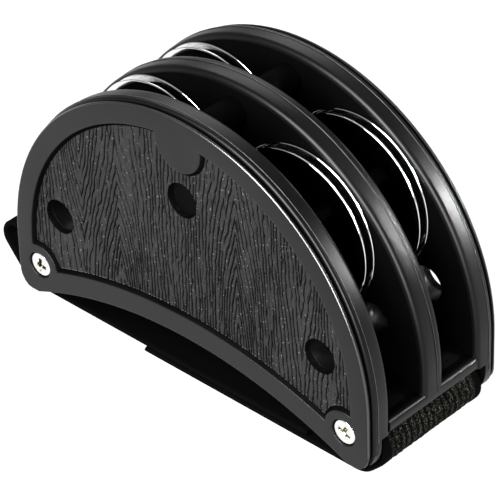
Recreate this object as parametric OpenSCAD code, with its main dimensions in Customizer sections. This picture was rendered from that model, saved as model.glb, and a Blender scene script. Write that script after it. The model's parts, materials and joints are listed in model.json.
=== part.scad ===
// Foot tambourine: a D-shaped jingle box that is worn over the shoe on a hook-and-loop strap.
// X runs along the length, Y through the depth with the front at -Y, Z up from the strap's underside.

/* [Plates] */
// Length of the D-shaped side plates
body_l = 139.2; // [136:0.2:160]
// Height from the feet to the centre of the round top
side_h = 18.3; // [17.6:0.1:24]
// Rise of the arch over the feet
arch_rise = 13.3; // [10:0.1:14]
// Radius of the arch that sits on the shoe
arch_r = 148; // [140:1:200]
// Width of the rounding at the foot of each plate
foot_round_w = 4.5; // [2:0.1:6]
// Height of the rounding at the foot of each plate
foot_round_h = 7.5; // [4:0.1:9]
// Thickness of the outer walls
wall_t = 6.6; // [6.2:0.1:8]
// Width of each bay between two walls
bay_w = 14.6; // [13.5:0.1:18]
// Thickness of the middle wall
mid_t = 8; // [6.5:0.1:11]
// Share of the middle wall that belongs to the front shell
mid_front_t = 5.2; // [4:0.1:5.2]
// Rounding of the wall edges that face the bays
rim_round = 1.6; // [0.6:0.1:2]
// Rounding of the wall edges behind the bezels
groove_round = 1; // [0.3:0.1:1]
// Height of the fine parting line on the wall edges
parting_h = 0.12; // [0.05:0.01:0.3]
// Distance of the parting line from the bezel seam
parting_y = 1.6; // [1.2:0.1:2.4]
// Chamfer along the seam between the shells
seam_chamfer = 0.25; // [0.1:0.05:0.5]

/* [Bezels and panels] */
// Thickness of the bezels
bezel_t = 2; // [1.5:0.1:3]
// Width of the bezel's rim
rim_w = 7; // [5:0.1:8]
// How far the bezel's edge lies inside the wall's edge
bezel_inset = 0.6; // [0.1:0.05:0.8]
// Thickness of the bezel's edge in front of the groove that sets it off from the wall
edge_t = 0.9; // [0.8:0.1:1.2]
// Rounding of that edge
bezel_round = 0.6; // [0.3:0.1:0.7]
// Depth of the groove
groove_d = 1.6; // [0.8:0.1:2]
// Thickness of the embossed panels
panel_t = 1.2; // [0.8:0.1:1.8]
// How far a panel reaches under the bezel
panel_lip = 1.2; // [0.8:0.1:1.3]
// Height of the panel's embossed field, which stands in the bezel's opening
field_h = 1; // [0.6:0.1:1.4]
// Width of the moat between that field and the bezel
field_gap = 1.1; // [0.5:0.1:1.5]
// Radius of the bezel round each corner screw
corner_pad_r = 7; // [6.9:0.1:8]
// Radius of the tongue at the top of the bezel
tongue_r = 8.7; // [7.5:0.1:10]
// Depth of the tongue's centre below the top
tongue_drop = 8.7; // [7.5:0.1:9.2]
// Radius of the spigot behind each corner screw
spigot_r = 5; // [4.9:0.1:5.3]
// Depth of that spigot
spigot_h = 1.6; // [1.2:0.1:1.8]
// Radius of the peg behind the tongue
peg_r = 4.15; // [3.6:0.05:4.5]
// Length of the peg
peg_h = 1.5; // [0.8:0.1:1.7]
// Play between parts that fit into each other
fit_gap = 0.15; // [0.1:0.05:0.25]

/* [Round holes] */
// Diameter of the three holes through the box
hole_d = 11; // [8:0.1:11.5]
// Distance of the side holes from the ends
side_hole_inset = 18.9; // [18:0.1:19.6]
// Height of the side holes above the feet
side_hole_up = 31.5; // [30:0.1:33]
// Depth of the middle hole below the top
mid_hole_drop = 27.7; // [26:0.1:31]

/* [Bay floor] */
// Thickness of the bay floor
floor_t = 1.5; // [1.2:0.1:2]
// Thickness of the end bars
bar_t = 3.1; // [3.1:0.1:3.5]
// Height of the end bars
bar_h = 4.2; // [3.8:0.1:5]
// Depth of the bars' tops below the floor's top
bar_drop = 2.9; // [2.4:0.1:3.2]
// Rounding of the end bars
bar_round = 1.5; // [0.8:0.1:1.5]
// Depth of the cuts in the outer walls that give the strap room under the floor
relief_t = 3.7; // [3:0.1:3.9]

/* [Jingles] */
// Diameter of a jingle
jingle_d = 51; // [46:0.5:56]
// Sheet thickness of a jingle
jingle_t = 0.7; // [0.4:0.05:0.9]
// Height of a jingle from rim to crown
jingle_h = 2; // [1.8:0.1:3]
// Diameter of the dome
dome_d = 22; // [16:0.5:30]
// Rise of the flange from rim to dome
flange_rise = 0.6; // [0.3:0.1:0.8]
// Diameter of a jingle's hole
jingle_hole_d = 5.4; // [5:0.1:5.5]
// Play between a hanging jingle and its pin
hang_gap = 0.1; // [0.05:0.05:0.2]
// Play between the crowns of a pair
crown_gap = 0.1; // [0.05:0.05:0.5]
// Room between a pair at rest and the wall behind it
rest_gap = 0.35; // [0.2:0.05:2]
// Room between the left and the right jingles
jingle_gap = 1.8; // [1:0.1:5]
// Height of the pins above the feet
pin_up = 53.2; // [51:0.1:55]
// Diameter of a pin
pin_d = 4; // [3.8:0.1:4.4]
// Radial play of a pin in the walls
run_gap = 0.05; // [0.02:0.01:0.1]
// Play between a pin's end and the panel
pin_end_gap = 0.3; // [0.1:0.05:0.5]

/* [Screws and posts] */
// Distance of the corner screws from the ends
screw_inset = 9.6; // [9.4:0.1:10.4]
// Height of the corner screws above the feet
screw_up = 10.3; // [10:0.1:12]
// Diameter of the screw shanks
screw_d = 3.9; // [3:0.1:4]
// Diameter of the screw heads
head_d = 8; // [6.5:0.1:8.4]
// Height of the screw heads
head_h = 2.1; // [1.6:0.1:2.2]
// Depth of the corner screws' seats below the bezel's face
head_sink = 2.1; // [2.1:0.1:2.8]
// Depth of the tie screw's seat in the rear wall
tie_sink = 4.1; // [3.9:0.1:4.4]
// Radial room round a screw head
head_gap = 0.3; // [0.2:0.05:0.4]
// Radial room round a shank in its thread
thread_gap = 0.05; // [0.02:0.01:0.1]
// Radial room round a shank in a through hole
shank_gap = 0.25; // [0.15:0.05:0.4]
// Length of a corner screw in its post
grip_l = 8; // [5:0.5:14]
// Depth of a thread beyond the screw's end
thread_runout = 1; // [0.5:0.1:2]
// Length of the tie screw in the front shell's boss
tie_grip_l = 10; // [6:0.5:11]
// Depth of the cross recess in a screw head
cross_depth = 1.2; // [0.6:0.1:1.4]
// Width of the cross recess
cross_w = 1; // [0.6:0.1:1.4]
// Length of the cross recess
cross_l = 4.4; // [3:0.1:5]
// Diameter of the posts that carry the strap
post_d = 6.4; // [6:0.1:7]
// Diameter of the boss round the tie screw
tie_boss_d = 9; // [7.5:0.1:11]

/* [Strap] */
// Thickness of the strap
strap_t = 1.5; // [1:0.1:1.8]
// Room between the strap and what it bends round
strap_gap = 0.25; // [0.15:0.05:0.35]
// Room between the strap's edges and the walls
strap_side_gap = 1.4; // [0.3:0.1:2]
// Height of the feet above the strap's underside
strap_drop = 7.5; // [7:0.1:30]
// Radius of the loop at the right end
loop_r = 6; // [5:0.1:6.4]
// Depth of the right loop's centre below the screws
loop_drop = 7.3; // [6.8:0.1:8]
// Radius of the sweep from the right loop to the lower run
sweep_r = 8; // [7:0.5:14]
// How far the strap stands out beyond the right end
strap_out_right = 0.1; // [0:0.1:0.4]
// How far the strap stands out beyond the left end
strap_out_left = 13.3; // [12.5:0.1:20]
// Radius of the fold at the left end
tip_r = 4.7; // [4:0.1:5]
// Depth of the left fold's centre below the screws
tip_drop = 1.7; // [1.2:0.1:2.4]
// Radius of the bend below the left fold
bend_r = 3; // [2.5:0.1:5]
// Distance of that bend's centre beyond the left end
bend_out = 1.6; // [1:0.1:4]
// Place of the strap's inner end, right of the middle
inner_end_x = 40; // [30:1:50]
// Place of the strap's outer end, left of the middle
outer_end_x = 24; // [18:1:40]
// Thickness of the hook tape between the ends
hook_t = 0.7; // [0.5:0.1:1.2]
// Distance of the hook tape from the strap's edges and ends
hook_margin = 2; // [1:0.5:4]

/* [Hidden] */
$fn = 96;
eps = 0.01;
round_steps = 5;
fold_step = 12;
dome_steps = 10;
SIDES = [-1, 1];

half_l = body_l / 2;
channel_w = 2 * bay_w + mid_t;
half_w = channel_w / 2 + wall_t + bezel_t;
wall_y = -half_w + bezel_t;
seam_y = -mid_t / 2 + mid_front_t;
post_l = channel_w + 2 * relief_t;
far = 2 * half_w;

foot_z = strap_drop;
screw_z = foot_z + screw_up;
arc_z = foot_z + side_h;
top_z = arc_z + half_l;
arch_z = foot_z + arch_rise - arch_r;
tongue_z = top_z - tongue_drop;
pin_z = foot_z + pin_up;
jingle_z = pin_z - (jingle_hole_d - pin_d) / 2 + hang_gap;
floor_z = screw_z + post_d / 2 + strap_t + 2 * strap_gap;
floor_top = floor_z + floor_t;
bar_top = floor_top - bar_drop;
bar_z = bar_top - bar_h;

screw_x = half_l - screw_inset;
side_hole_x = half_l - side_hole_inset;
pin_x = (jingle_d + jingle_gap) / 2;
window_r = half_l - rim_w;
hole_places = [[-side_hole_x, foot_z + side_hole_up], [0, top_z - mid_hole_drop],
               [side_hole_x, foot_z + side_hole_up]];
shank_r = screw_d / 2 + shank_gap;
thread_r = screw_d / 2 + thread_gap;
seat_r = head_d / 2 + head_gap;

strap_w = post_l - 2 * strap_side_gap;
outer_run_z = strap_t / 2;
inner_run_z = outer_run_z + strap_t + hook_t;
post_bend = post_d / 2 + strap_gap + strap_t / 2;
guide_bend = bar_round + strap_gap + strap_t / 2;
guide_x = half_l - bar_t + bar_round;
guide_z = bar_z + bar_round;

plastic = "#343436";
panel_black = "#414143";
steel = "#d4d6d8";
webbing = "#1b1b1a";

// Helpers: points along an arc, and solids that run through the depth

function arc(x, y, r, from, to) =
    [for (i = [0 : round_steps]) let (a = from + (to - from) * i / round_steps)
        [x + r * cos(a), y + r * sin(a)]];

function flip(points) = [for (i = [len(points) - 1 : -1 : 0]) [-points[i].x, points[i].y]];

function reverse(list) = [for (i = [len(list) - 1 : -1 : 0]) list[i]];

function wrap(a) = a - 360 * floor(a / 360);

// Extrudes an outline drawn in X and Z from y to y + depth
module slab(y, depth) {
    translate([0, y + depth, 0]) rotate([90, 0, 0]) linear_extrude(depth) children();
}

// A round bar along Y, centred on x and z
module rod(x, z, r, y, length) {
    translate([x, y, z]) rotate([-90, 0, 0]) cylinder(r = r, h = length);
}

// Carries a front piece over to the rear
module at_rear() {
    mirror([0, 1, 0]) children();
}

// D-shaped plates

// Half of the edge's cross-section, with the parting line as a fine ridge where line is above zero
function edge_half(reach, t, front_round, back_round, line) = concat(
    [[0, 0]],
    arc(reach - front_round, front_round, front_round, -90, 0),
    line > 0 ? [[reach, line - parting_h], [reach + parting_h, line], [reach, line + parting_h]] : [],
    arc(reach - back_round, t - back_round, back_round, 0, 90),
    [[0, t]]);

// The same for a bezel: a thin rounded edge in front of the groove
function bezel_half(reach) = concat(
    [[0, 0]],
    arc(reach - bezel_round, bezel_round, bezel_round, -90, 0),
    [[reach, edge_t], [reach - groove_d, edge_t], [reach - groove_d, bezel_t], [0, bezel_t]]);

// Round top over straight sides with the given edge, from y = 0 backwards, down to z = low
module d_plate(half, low) {
    translate([0, 0, arc_z]) rotate([-90, 0, 0]) rotate([0, 0, 180])
        rotate_extrude(angle = 180) polygon(half);
    translate([0, 0, low]) linear_extrude(arc_z - low) polygon(concat(half, flip(half)));
}

// What the arch and the rounded feet take away from a plate
module foot_cut(reach) {
    rod(0, arch_z, arch_r, -far, 2 * far);
    heel = concat([[reach + far, foot_z - far], [reach - foot_round_w, foot_z - far]],
        [for (i = [0 : round_steps]) let (a = -90 + 90 * i / round_steps)
            [reach - foot_round_w + foot_round_w * cos(a), foot_z + foot_round_h + foot_round_h * sin(a)]],
        [[reach + far, foot_z + foot_round_h]]);
    slab(-far, 2 * far) polygon(heel);
    slab(-far, 2 * far) polygon(flip(heel));
}

// Opening of a bezel, widened by grow for what lies behind it, or narrowed where grow is below zero
module window(grow) {
    difference() {
        union() {
            translate([0, arc_z]) circle(window_r + grow);
            translate([-window_r - grow, foot_z]) square([2 * (window_r + grow), side_h]);
        }
        translate([0, arch_z]) circle(arch_r + rim_w - grow);
        translate([0, tongue_z]) circle(tongue_r - grow);
        for (s = SIDES) translate([s * screw_x, screw_z]) {
            circle(corner_pad_r - grow);
            mirror([s < 0 ? 1 : 0, 0]) translate([0, -half_l]) square(half_l);
        }
    }
}

module through_holes() {
    for (p = hole_places) rod(p.x, p.y, hole_d / 2, -far, 2 * far);
}

module pin_bores() {
    for (s = SIDES) rod(s * pin_x, pin_z, pin_d / 2 + run_gap, -far, 2 * far);
}

// Front cover frame: rim, screw pads with spigots, and the tongue with its peg
module bezel() {
    reach = half_l - bezel_inset;
    color(plastic) difference() {
        union() {
            difference() {
                translate([0, -half_w, 0]) d_plate(bezel_half(reach), foot_z);
                foot_cut(reach);
                slab(-half_w - eps, bezel_t + 2 * eps) window(0);
            }
            for (s = SIDES) rod(s * screw_x, screw_z, spigot_r, wall_y - eps, spigot_h + eps);
            rod(0, tongue_z, peg_r, wall_y - eps, peg_h + eps);
        }
        for (s = SIDES) {
            rod(s * screw_x, screw_z, seat_r, -half_w - eps, head_sink + eps);
            rod(s * screw_x, screw_z, shank_r, -half_w, far);
        }
    }
}

// Sheet behind the bezel, with its embossed field in the bezel's opening
module panel() {
    color(panel_black) difference() {
        union() {
            slab(wall_y, panel_t) window(panel_lip);
            slab(wall_y - field_h, field_h + eps) window(-field_gap);
        }
        through_holes();
    }
}

// Underside of the bay floor from the right bar to the middle: round the bar, up over the strap and level
function under_half() = concat(
    arc(guide_x, guide_z, bar_round, 270, 270 - hood_lean),
    arc(screw_x, screw_z, floor_z - screw_z, 90 - hood_lean, 90),
    [[0, floor_z]]);

// Room for the strap under the floor, open at both ends below the bars
module strap_room() {
    out_x = half_l + far;
    under = under_half();
    polygon(concat([[-out_x, foot_z - far], [out_x, foot_z - far], [out_x, bar_z]],
        under, flip(under), [[-out_x, bar_z]]));
}

// Outer wall with its seats for the panel, the spigots and the peg
module outer_wall() {
    difference() {
        translate([0, wall_y, 0])
            d_plate(edge_half(half_l, wall_t, groove_round, rim_round, parting_y), foot_z);
        foot_cut(half_l);
        slab(-post_l / 2, relief_t + eps) strap_room();
        slab(wall_y - eps, panel_t + eps) window(panel_lip + fit_gap);
        for (s = SIDES) {
            rod(s * screw_x, screw_z, spigot_r + fit_gap, wall_y - eps, spigot_h + fit_gap + eps);
            rod(s * screw_x, screw_z, shank_r, -far, far);
        }
        rod(0, tongue_z, peg_r + fit_gap, wall_y - eps, peg_h + fit_gap + eps);
    }
}

// Cross-section of the bay floor, which drops over the strap to a rounded bar at each end
function tray_half() = let (
    hood_r = floor_top - screw_z,
    hood_end = [screw_x + hood_r * sin(hood_lean), screw_z + hood_r * cos(hood_lean)])
    concat(
        [[0, floor_top]],
        arc(screw_x, screw_z, hood_r, 90, 90 - hood_lean),
        [[hood_end.x + (hood_end.y - bar_top) / tan(hood_lean), bar_top]],
        arc(half_l - bar_round, bar_top - bar_round, bar_round, 90, 0),
        arc(half_l - bar_round, guide_z, bar_round, 360, 270),
        under_half());

module tray(y, depth) {
    half = tray_half();
    slab(y, depth) polygon(concat(half, flip(half)));
}

// One shell's share of the middle wall, down to the bay floor and its bars
module mid_wall(y, t, front_round, back_round) {
    difference() {
        translate([0, y, 0]) d_plate(edge_half(half_l, t, front_round, back_round, 0), guide_z);
        slab(-far, 2 * far) strap_room();
    }
}

module front_shell() {
    color(plastic) difference() {
        union() {
            outer_wall();
            mid_wall(-mid_t / 2, mid_front_t, rim_round, seam_chamfer);
            tray(-channel_w / 2 - eps, channel_w / 2 + seam_y + eps);
            rod(0, tongue_z, tie_boss_d / 2, -channel_w / 2 - eps, bay_w + 2 * eps);
        }
        through_holes();
        pin_bores();
        rod(0, tongue_z, thread_r, -mid_t / 2 - tie_grip_l - thread_runout, far);
    }
}

module rear_shell() {
    rear_mid_t = mid_t - mid_front_t;
    color(plastic) difference() {
        union() {
            at_rear() outer_wall();
            mid_wall(seam_y, rear_mid_t, seam_chamfer, rim_round);
            tray(seam_y, channel_w / 2 - seam_y + eps);
            rod(0, tongue_z, tie_boss_d / 2, mid_t / 2 - eps, bay_w + 2 * eps);
        }
        through_holes();
        pin_bores();
        rod(0, tongue_z, shank_r, -far, 2 * far);
        at_rear() rod(0, tongue_z, head_d / 2 + fit_gap * 2, wall_y - eps, tie_sink + eps);
    }
}

// Screws and posts

// Domed cross-recess screw: seat at the origin, head towards -Y, shank along +Y
module screw(length) {
    crown = head_h / 5;
    color(steel) difference() {
        rotate([-90, 0, 0]) rotate_extrude() polygon(concat(
            [[0, length], [0, -head_h]],
            [for (i = [1 : round_steps]) let (a = 90 * i / round_steps)
                [head_d / 2 * sin(a), -head_h + crown * (1 - cos(a))]],
            [[head_d / 2, 0], [screw_d / 2, 0], [screw_d / 2, length]]));
        for (turn = [0, 90]) rotate([0, turn, 0])
            translate([-cross_l / 2, -head_h - eps, -cross_w / 2])
                cube([cross_l, cross_depth + eps, cross_w]);
    }
}

module corner_screw(side) {
    seat_y = -half_w + head_sink;
    translate([side * screw_x, seat_y, screw_z]) screw(-post_l / 2 + grip_l - seat_y);
}

module tie_screw() {
    seat_y = half_w - bezel_t - tie_sink;
    translate([0, seat_y, tongue_z]) mirror([0, 1, 0]) screw(seat_y + mid_t / 2 + tie_grip_l);
}

// Threaded spacer between the outer walls, which the strap loops over
module strap_post(side) {
    bore_l = grip_l + thread_runout;
    color(steel) difference() {
        rod(side * screw_x, screw_z, post_d / 2, -post_l / 2, post_l);
        for (end = SIDES)
            rod(side * screw_x, screw_z, thread_r, end * (post_l - bore_l) / 2 - bore_l / 2, bore_l);
    }
}

// Jingles

module jingle_pin(side) {
    length = 2 * (half_w - bezel_t - panel_t - pin_end_gap);
    color(steel) rod(side * pin_x, pin_z, pin_d / 2, -length / 2, length);
}

// Height of the sheet's inner face over the rim at radius r
function sheet_h(r) = let (
    hole_r = jingle_hole_d / 2,
    dome_r = dome_d / 2,
    rim_r = jingle_d / 2,
    crown = jingle_h - jingle_t - flange_rise)
    r < dome_r ? flange_rise + crown * (0.5 + 0.5 * cos(180 * (r - hole_r) / (dome_r - hole_r)))
               : flange_rise * (rim_r - r) / (rim_r - dome_r);

// Domed disc of a pair whose crowns meet: the near one, facing +Y, or the far one, facing -Y.
// The pair rests near the wall at y = back.
module jingle(side, back, near) {
    hole_r = jingle_hole_d / 2;
    dome_r = dome_d / 2;
    radii = concat([for (i = [0 : dome_steps]) hole_r + (dome_r - hole_r) * i / dome_steps], [jingle_d / 2]);
    sheet = concat([for (r = radii) [r, sheet_h(r)]], [for (r = reverse(radii)) [r, sheet_h(r) + jingle_t]]);
    rim_y = back - rest_gap - (near ? 2 * jingle_h + crown_gap : 0);
    color(steel) translate([side * pin_x, rim_y, jingle_z])
        rotate([near ? -90 : 90, 0, 0]) rotate_extrude() polygon(sheet);
}

module front_jingle(side, near) {
    jingle(side, -mid_t / 2, near);
}

module back_jingle(side, near) {
    jingle(side, channel_w / 2, near);
}

// Strap

// Direction of the straight run from one round to the next
function run_heading(from, to) = let (
    step = [to.x - from.x, to.y - from.y],
    lean = asin((to.z - from.z) / norm(step)))
    atan2(step.y, step.x) - lean;

// Distance of a point from the straight run between two rounds, counted to the left of the run
function room_left(from, to, point) = let (a = run_heading(from, to))
    (point.y - from.y) * cos(a) - (point.x - from.x) * sin(a) + from.z;

// The rounds that the strap bends about from its inner to its outer end: x, z and signed radius,
// below zero where the strap turns clockwise, seen from the front
left_guide = [-guide_x, guide_z, guide_bend];
left_post = [-screw_x, screw_z, -post_bend];
right_post = [screw_x, screw_z, -post_bend];
right_guide = [guide_x, guide_z, guide_bend];
hood_lean = run_heading(left_guide, left_post);
right_loop = [half_l + strap_out_right - strap_t / 2 - loop_r, screw_z - loop_drop, -loop_r];
sweep_z = outer_run_z + sweep_r;
right_sweep = [right_loop.x - right_loop.y + sweep_z + sqrt(2) * (loop_r - sweep_r), sweep_z, -sweep_r];
bar_in_the_way = room_left(right_post, right_loop, right_guide) < guide_bend;
route = [
    [inner_end_x, inner_run_z, 0],
    [-half_l - bend_out, inner_run_z + bend_r, -bend_r],
    [-half_l - strap_out_left + strap_t / 2 + tip_r, screw_z - tip_drop, -tip_r],
    left_guide,
    left_post,
    right_post,
    if (bar_in_the_way) right_guide,
    right_loop,
    right_sweep,
    [-outer_end_x, outer_run_z, 0]];

// Directions that the strap takes on its way round round i
function headings(i) = let (
    last = len(route) - 1,
    before = max(i - 1, 0),
    after = min(i, last - 1),
    start = run_heading(route[before], route[before + 1]),
    end = run_heading(route[after], route[after + 1]),
    sweep = route[i].z < 0 ? -wrap(start - end) : wrap(end - start),
    steps = route[i].z == 0 ? 0 : ceil(abs(sweep) / fold_step))
    [for (k = [0 : steps]) start + (steps == 0 ? 0 : sweep * k / steps)];

// One face of the strap, h to the right of its middle line
function strap_face(h) = [for (i = [0 : len(route) - 1]) for (a = headings(i))
    [route[i].x + (route[i].z + h) * sin(a), route[i].y - (route[i].z + h) * cos(a)]];

module strap() {
    color(webbing) slab(-strap_w / 2, strap_w)
        polygon(concat(strap_face(strap_t / 2), reverse(strap_face(-strap_t / 2))));
}

module hook_patch() {
    width = strap_w - 2 * hook_margin;
    color(webbing) translate([-outer_end_x + hook_margin, -width / 2, strap_t])
        cube([outer_end_x + inner_end_x - 2 * hook_margin, width, hook_t]);
}

bezel();  // front_bezel
at_rear() bezel();  // back_bezel
panel();  // front_panel
at_rear() panel();  // back_panel
front_shell();
rear_shell();
strap_post(-1);  // strap_post_left
strap_post(1);  // strap_post_right
corner_screw(-1);  // screw_front_left
corner_screw(1);  // screw_front_right
at_rear() corner_screw(-1);  // screw_back_left
at_rear() corner_screw(1);  // screw_back_right
tie_screw();
jingle_pin(-1);  // jingle_pin_left
jingle_pin(1);  // jingle_pin_right
front_jingle(-1, true);  // jingle_front_left_a
front_jingle(-1, false);  // jingle_front_left_b
front_jingle(1, true);  // jingle_front_right_a
front_jingle(1, false);  // jingle_front_right_b
back_jingle(-1, true);  // jingle_back_left_a
back_jingle(-1, false);  // jingle_back_left_b
back_jingle(1, true);  // jingle_back_right_a
back_jingle(1, false);  // jingle_back_right_b
strap();
hook_patch();
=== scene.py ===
"""Foot tambourine: finishes, embossed panels, jingles, screws and strap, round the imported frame."""

import itertools
import json
import math

import bmesh
import bpy
import numpy as np
from mathutils import Matrix, Vector


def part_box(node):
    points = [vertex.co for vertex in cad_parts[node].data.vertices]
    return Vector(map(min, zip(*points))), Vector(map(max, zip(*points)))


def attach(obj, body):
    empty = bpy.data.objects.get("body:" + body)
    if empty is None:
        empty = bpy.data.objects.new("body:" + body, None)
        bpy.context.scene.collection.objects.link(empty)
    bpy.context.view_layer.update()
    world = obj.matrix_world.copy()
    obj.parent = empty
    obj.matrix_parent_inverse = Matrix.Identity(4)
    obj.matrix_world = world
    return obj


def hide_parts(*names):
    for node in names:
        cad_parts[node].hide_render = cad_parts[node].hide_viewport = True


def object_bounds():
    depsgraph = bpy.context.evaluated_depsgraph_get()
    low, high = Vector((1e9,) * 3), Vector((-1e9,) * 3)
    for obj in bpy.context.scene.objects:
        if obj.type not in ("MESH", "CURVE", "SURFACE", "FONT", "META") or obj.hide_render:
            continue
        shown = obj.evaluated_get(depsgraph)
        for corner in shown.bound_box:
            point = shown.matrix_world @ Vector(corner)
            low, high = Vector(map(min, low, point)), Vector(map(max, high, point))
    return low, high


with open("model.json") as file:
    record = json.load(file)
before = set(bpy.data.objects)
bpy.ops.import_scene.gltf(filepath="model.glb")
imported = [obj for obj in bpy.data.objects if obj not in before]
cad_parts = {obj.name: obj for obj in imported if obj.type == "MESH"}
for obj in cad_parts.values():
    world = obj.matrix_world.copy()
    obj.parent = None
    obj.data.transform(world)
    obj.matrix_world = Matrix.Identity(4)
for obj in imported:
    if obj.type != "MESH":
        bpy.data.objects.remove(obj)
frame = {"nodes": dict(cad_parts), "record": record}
cad_low, cad_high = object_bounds()

MM = 0.001

# Places that come from the frame
bezel_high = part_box("front_bezel")[1]
panel_low, panel_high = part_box("front_panel")
strap_low, strap_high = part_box("strap")
ARC_Z = bezel_high.z - bezel_high.x
mounts = {m["name"]: m for m in frame["record"]["mounts"]}
openings = {o["name"]: o for o in frame["record"]["physics"]["openings"]}
HOLE_R = mounts["left_hole"]["dims"]["r_mm"] * MM


def middle_of(node):
    """Middle of a node's box."""
    low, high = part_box(node)
    return (low + high) / 2


def opening_middle(name):
    """Middle of a stated opening."""
    low, high = openings[name]["box_m"]
    return (Vector(low) + Vector(high)) / 2


hole_spots = [Vector(mounts[n]["pos_m"]) for n in ("left_hole", "right_hole")]
hole_spots.append(opening_middle("middle_hole_front"))
corner_screw_spot = middle_of("screw_front_right")
tongue_spot = middle_of("tie_screw")


# Helpers for meshes

def soft_noise(u, v, seed):
    """Smooth random field from 0 to 1, one lattice cell to a unit, the same on every run."""
    size = 256
    lattice = np.random.default_rng(seed).random((size, size))
    col, row = np.floor(u).astype(int), np.floor(v).astype(int)
    fu, fv = u - col, v - row
    fu, fv = fu * fu * (3 - 2 * fu), fv * fv * (3 - 2 * fv)
    near = lattice[col % size, row % size] * (1 - fu) + lattice[(col + 1) % size, row % size] * fu
    far = lattice[col % size, (row + 1) % size] * (1 - fu) + lattice[(col + 1) % size, (row + 1) % size] * fu
    return near * (1 - fv) + far * fv


def ease(low, high, value):
    """0 below low, 1 above high, and smooth between."""
    t = np.clip((value - low) / (high - low), 0, 1)
    return t * t * (3 - 2 * t)


def new_piece(name, mesh, material, body, place=None):
    """Puts a mesh in the scene on its body, with its finish, moved to a place if one is given."""
    piece = bpy.data.objects.new(name, mesh)
    bpy.context.scene.collection.objects.link(piece)
    mesh.materials.append(material)
    if place is not None:
        piece.matrix_world = place
    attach(piece, body)
    return piece


def mark_points(mesh, name, values):
    """Stores a value on each point of a mesh for its finish to read."""
    marks = mesh.attributes.new(name, "FLOAT", "POINT")
    marks.data.foreach_set("value", np.ravel(values).astype(np.float32))


def smooth_faces(mesh, sharp_angle):
    """Smooth shading with sharp corners above an angle in degrees."""
    mesh.polygons.foreach_set("use_smooth", np.ones(len(mesh.polygons), bool))
    mesh.set_sharp_from_angle(angle=math.radians(sharp_angle))
    mesh.update()


def tidy_normals(mesh, sharp_angle=40):
    """Merges points that meet, turns all faces outwards and keeps only real corners sharp."""
    bm = bmesh.new()
    bm.from_mesh(mesh)
    bmesh.ops.remove_doubles(bm, verts=bm.verts, dist=1e-6)
    bmesh.ops.recalc_face_normals(bm, faces=bm.faces)
    bm.to_mesh(mesh)
    bm.free()
    smooth_faces(mesh, sharp_angle)


def tube(name, points):
    """Closed tube through rows of rings of points, with flat ends."""
    rows, ring = points.shape[:2]
    place = np.arange(rows * ring).reshape(rows, ring)
    after = np.roll(place, -1, axis=1)
    quads = np.stack([place[:-1], place[1:], after[1:], after[:-1]], axis=-1).reshape(-1, 4).tolist()
    ends = [place[0].tolist(), place[-1][::-1].tolist()]
    mesh = bpy.data.meshes.new(name)
    mesh.from_pydata(points.reshape(-1, 3).tolist(), [], quads + ends)
    return mesh


def lathe(name, outline, turns):
    """Closed outline of (radius, height) points turned about the Y axis."""
    ring = len(outline)
    points = []
    for k in range(turns):
        a = 2 * math.pi * k / turns
        points += [(r * math.cos(a), h, r * math.sin(a)) for r, h in outline]
    faces = []
    for k in range(turns):
        here, there = k * ring, (k + 1) % turns * ring
        for i in range(ring):
            j = (i + 1) % ring
            faces.append((here + i, there + i, there + j, here + j))
    mesh = bpy.data.meshes.new(name)
    mesh.from_pydata(points, [], faces)
    tidy_normals(mesh)
    return mesh


# Shader helpers and shared effects

SHINE = "Specular IOR Level"


def grey(value, warm=0.0):
    """Colour of one linear grey, a little warm where warm is above zero."""
    return (value * (1 + warm), value, value * (1 - warm), 1.0)


def add(tree, kind, **settings):
    """Adds a node; settings are its own options."""
    node = tree.nodes.new(kind)
    for name, value in settings.items():
        setattr(node, name, value)
    return node


def fill(node, **values):
    """Sets a node's input sockets by name, with _ for a space."""
    for name, value in values.items():
        node.inputs[name.replace("_", " ")].default_value = value
    return node


def feed(tree, value, socket):
    """Feeds a socket from another socket, or sets it to a number or a colour."""
    if isinstance(value, bpy.types.NodeSocket):
        tree.links.new(value, socket)
    else:
        socket.default_value = value


def maths(tree, operation, a, b=None, clamp=False):
    """Math node on sockets or numbers. Gives its output socket."""
    node = add(tree, "ShaderNodeMath", operation=operation, use_clamp=clamp)
    feed(tree, a, node.inputs[0])
    if b is not None:
        feed(tree, b, node.inputs[1])
    return node.outputs[0]


def times(tree, a, b):
    """Product of two sockets or numbers."""
    return maths(tree, "MULTIPLY", a, b)


def plus(tree, a, b, clamp=False):
    """Sum of two sockets or numbers, kept from 0 to 1 where clamp is set."""
    return maths(tree, "ADD", a, b, clamp)


def minus(tree, a, b, clamp=False):
    """Difference of two sockets or numbers, kept from 0 to 1 where clamp is set."""
    return maths(tree, "SUBTRACT", a, b, clamp)


def distance(tree, a, b):
    """Distance of two steps at right angles."""
    return maths(tree, "SQRT", plus(tree, times(tree, a, a), times(tree, b, b)))


def spread(tree, value, from_low, from_high, to_low=0.0, to_high=1.0):
    """Maps a value smoothly from one range to another."""
    node = add(tree, "ShaderNodeMapRange", interpolation_type="SMOOTHSTEP")
    for i, entry in enumerate((value, from_low, from_high, to_low, to_high)):
        feed(tree, entry, node.inputs[i])
    return node.outputs[0]


def blend_colours(tree, share, first, second):
    """Mixes two colours by a share from 0 to 1."""
    node = add(tree, "ShaderNodeMix", data_type="RGBA")
    tree.links.new(share, node.inputs["Factor"])
    for name, value in (("A", first), ("B", second)):
        feed(tree, value, next(s for s in node.inputs if s.name == name and s.type == "RGBA"))
    return next(s for s in node.outputs if s.type == "RGBA")


def noise_at(tree, where, scale, detail=2.0, dimensions="3D"):
    """Noise texture at a place, about 0.5 in the middle. Gives its value socket."""
    node = add(tree, "ShaderNodeTexNoise", noise_dimensions=dimensions)
    tree.links.new(where, node.inputs["W" if dimensions == "1D" else "Vector"])
    feed(tree, scale, node.inputs["Scale"])
    node.inputs["Detail"].default_value = detail
    return node.outputs[0]


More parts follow.
